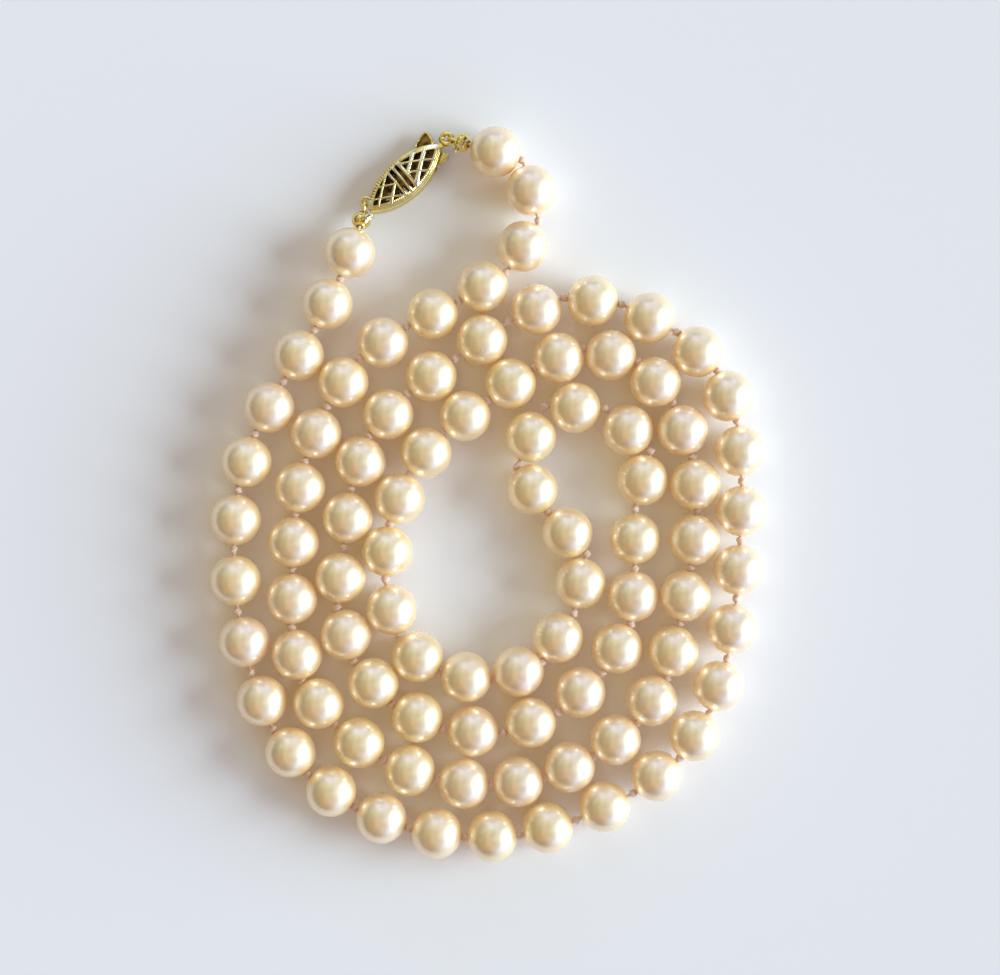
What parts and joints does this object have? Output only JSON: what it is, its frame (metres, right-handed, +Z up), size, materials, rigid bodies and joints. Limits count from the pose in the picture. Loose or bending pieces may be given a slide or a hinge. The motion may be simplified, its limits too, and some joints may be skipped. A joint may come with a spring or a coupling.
{
  "type": "pearl necklace",
  "caption": "Knotted string of round imitation pearls with a pierced pointed-oval box clasp, laid in a loose double coil.",
  "frame": {"origin": "on the table under the middle of the coil's outer box", "axes": "+X to the right of the coil, +Y along the coil towards the clasp, +Z up from the table"},
  "size_m": [0.087, 0.115, 0.008],
  "materials": {
    "pearl": "glossy nacre lacquer",
    "silk": "twisted silk",
    "gold": "gold plate, polished"
  },
  "bodies": {
    "root": {"pearls": "pearl", "thread": "silk", "clasp_body": "gold", "clasp_hook": "gold", "jump_ring": "gold", "bead_tip_ring_end": "gold", "bead_tip_hook_end": "gold"}
  },
  "joints": []
}
